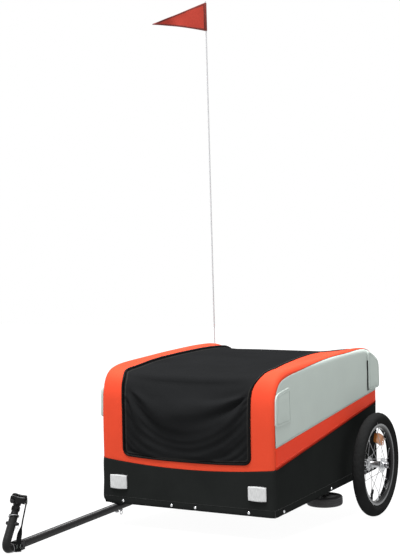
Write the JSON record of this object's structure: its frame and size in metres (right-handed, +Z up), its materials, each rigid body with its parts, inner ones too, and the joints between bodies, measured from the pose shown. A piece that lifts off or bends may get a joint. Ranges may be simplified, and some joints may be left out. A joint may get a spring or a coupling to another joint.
{
  "type": "bike cargo trailer",
  "caption": "Two-wheel bike cargo trailer: fabric body with a hinged tonneau cover on a tube frame, push-button spoked wheels, offset drawbar with rubber elbow clamp, flag on a pole.",
  "frame": {"origin": "bottom centre of the whole trailer's box, on the ground that the tyres and the rubber elbow stand on", "axes": "+Z up; -Y towards the coupling at the drawbar's end; +X across, towards the wheel on the side without the drawbar"},
  "size_m": [1.0386, 1.6044, 2.0655],
  "materials": {
    "frame_powder_coat": "satin black powder coat",
    "bright_zinc": "bright zinc plating",
    "hub_aluminium": "satin",
    "rim_black": "black anodised",
    "tyre_rubber": "matte",
    "elbow_rubber": "satin",
    "support_wheel_plastic": "matte",
    "black_plastic": "satin",
    "fabric_black": "coated woven polyester",
    "fabric_orange": "coated woven polyester",
    "fabric_grey": "coated woven polyester",
    "flag_fabric": "thin woven nylon",
    "webbing_black": "woven webbing",
    "floor_board_black": "fabric-covered board",
    "reflector_clear": "clear ribbed reflector",
    "pole_fibreglass": "white fibreglass"
  },
  "bodies": {
    "trailer_frame": {"frame_rail_left": "frame_powder_coat", "frame_rail_right": "frame_powder_coat", "crossbar_front": "frame_powder_coat", "crossbar_mid": "frame_powder_coat", "crossbar_axle": "frame_powder_coat", "crossbar_rear": "frame_powder_coat", "floor_board": "floor_board_black", "side_hoop_left": "frame_powder_coat", "side_hoop_right": "frame_powder_coat", "top_bar_front": "frame_powder_coat", "top_bar_rear": "frame_powder_coat", "lower_panel_front": "fabric_black", "lower_panel_rear": "fabric_black", "surround_sill": "fabric_orange", "lower_panel_left": "fabric_black", "side_stripe_left": "fabric_orange", "side_panel_left": "fabric_grey", "lower_panel_right": "fabric_black", "side_stripe_right": "fabric_orange", "side_panel_right": "fabric_grey", "corner_pad_front_left": "fabric_grey", "corner_pad_rear_left": "fabric_grey", "corner_pad_front_right": "fabric_grey", "corner_pad_rear_right": "fabric_grey", "surround_post_left": "fabric_orange", "shoulder_left": "fabric_orange", "surround_post_right": "fabric_orange", "shoulder_right": "fabric_orange", "rear_upper_panel": "fabric_orange", "reflector_front_left": "reflector_clear", "reflector_front_right": "reflector_clear", "drawbar": "frame_powder_coat", "drawbar_bolt_front": "bright_zinc", "drawbar_bolt_rear": "bright_zinc", "hitch_socket": "black_plastic", "flag_socket": "black_plastic"},
    "cover_top": {"cover_top": "fabric_black"},
    "cover_front": {"cover_front": "fabric_black"},
    "wheel_left": {"tyre_left": "tyre_rubber", "rim_left": "rim_black", "hub_left": "hub_aluminium"},
    "axle_left": {"axle_left": "bright_zinc"},
    "button_left": {"axle_button_left": "black_plastic"},
    "wheel_right": {"tyre_right": "tyre_rubber", "rim_right": "rim_black", "hub_right": "hub_aluminium"},
    "axle_right": {"axle_right": "bright_zinc"},
    "button_right": {"axle_button_right": "black_plastic"},
    "drawbar_pin": {"drawbar_pin": "bright_zinc"},
    "hitch_arm": {"hitch_fork": "bright_zinc", "hitch_elbow": "elbow_rubber", "hitch_collar": "bright_zinc", "safety_strap": "webbing_black"},
    "hitch_head": {"hitch_head": "black_plastic"},
    "hitch_jaw": {"hitch_jaw": "black_plastic"},
    "hitch_knob": {"hitch_knob": "bright_zinc"},
    "flag_pole": {"flag_pole": "pole_fibreglass"},
    "flag": {"flag": "flag_fabric"},
    "support_arm": {"support_arm": "frame_powder_coat"},
    "support_wheel": {"support_wheel": "support_wheel_plastic"}
  },
  "joints": [
    {"name": "wheel_left_release", "type": "slide", "parent": "trailer_frame", "child": "axle_left", "axis": [-1, 0, 0], "range_m": [0, 0.09]},
    {"name": "wheel_left_spin", "type": "hinge", "parent": "axle_left", "child": "wheel_left", "pos_m": [-0.36421, 0.60218, 0.20002], "axis": [1, 0, 0], "continuous": true},
    {"name": "button_left_press", "type": "slide", "parent": "axle_left", "child": "button_left", "axis": [1, 0, 0], "range_m": [0, 0.003], "stiffness_N_per_m": 600},
    {"name": "wheel_right_release", "type": "slide", "parent": "trailer_frame", "child": "axle_right", "axis": [1, 0, 0], "range_m": [0, 0.09]},
    {"name": "wheel_right_spin", "type": "hinge", "parent": "axle_right", "child": "wheel_right", "pos_m": [0.46779, 0.60218, 0.20002], "axis": [1, 0, 0], "continuous": true},
    {"name": "button_right_press", "type": "slide", "parent": "axle_right", "child": "button_right", "axis": [-1, 0, 0], "range_m": [0, 0.003], "stiffness_N_per_m": 600},
    {"name": "drawbar_pin_pull", "type": "slide", "parent": "trailer_frame", "child": "drawbar_pin", "axis": [0, 0.0827, -0.9966], "range_m": [0, 0.032]},
    {"name": "hitch_pitch", "type": "hinge", "parent": "trailer_frame", "child": "hitch_arm", "pos_m": [-0.25321, -0.72429, 0.01773], "axis": [1, 0, 0], "range_deg": [-45, 8]},
    {"name": "hitch_turn", "type": "hinge", "parent": "hitch_arm", "child": "hitch_head", "pos_m": [-0.25321, -0.74868, 0.12014], "axis": [0, 0.3996, 0.9167], "range_deg": [-40, 40], "deforming": ["safety_strap"]},
    {"name": "clamp_jaw_close", "type": "slide", "parent": "hitch_head", "child": "hitch_jaw", "axis": [-0.4269, 0.8954, 0.1268], "range_m": [0, 0.008]},
    {"name": "clamp_knob_turn", "type": "hinge", "parent": "hitch_jaw", "child": "hitch_knob", "pos_m": [-0.25118, -0.76242, 0.16749], "axis": [-0.4269, 0.8954, 0.1268], "range_deg": [0, 2881]},
    {"name": "flag_pole_lift", "type": "slide", "parent": "trailer_frame", "child": "flag_pole", "axis": [0, -0.0827, 0.9966], "range_m": [0, 0.25]},
    {"name": "flag_turn", "type": "hinge", "parent": "flag_pole", "child": "flag", "pos_m": [-0.30671, 0.59348, 2.00548], "axis": [0, -0.0827, 0.9966], "continuous": true},
    {"name": "cover_top_open", "type": "hinge", "parent": "trailer_frame", "child": "cover_top", "pos_m": [0.05179, 0.748, 0.61951], "axis": [-1, 0, 0], "range_deg": [0, 110]},
    {"name": "cover_front_open", "type": "hinge", "parent": "cover_top", "child": "cover_front", "pos_m": [0.05179, -0.16356, 0.49773], "axis": [-1, 0, 0], "range_deg": [0, 170]},
    {"name": "support_fold", "type": "hinge", "parent": "trailer_frame", "child": "support_arm", "pos_m": [0.28979, 0.42489, 0.11156], "axis": [0, 0.9966, 0.0827], "range_deg": [0, 90]},
    {"name": "support_spin", "type": "hinge", "parent": "support_arm", "child": "support_wheel", "pos_m": [0.32979, 0.42811, 0.07269], "axis": [0, -0.0827, 0.9966], "continuous": true}
  ],
  "couplings": [
    {"joint": "clamp_knob_turn", "follows": "clamp_jaw_close", "rad_per_m": 6283.2}
  ]
}
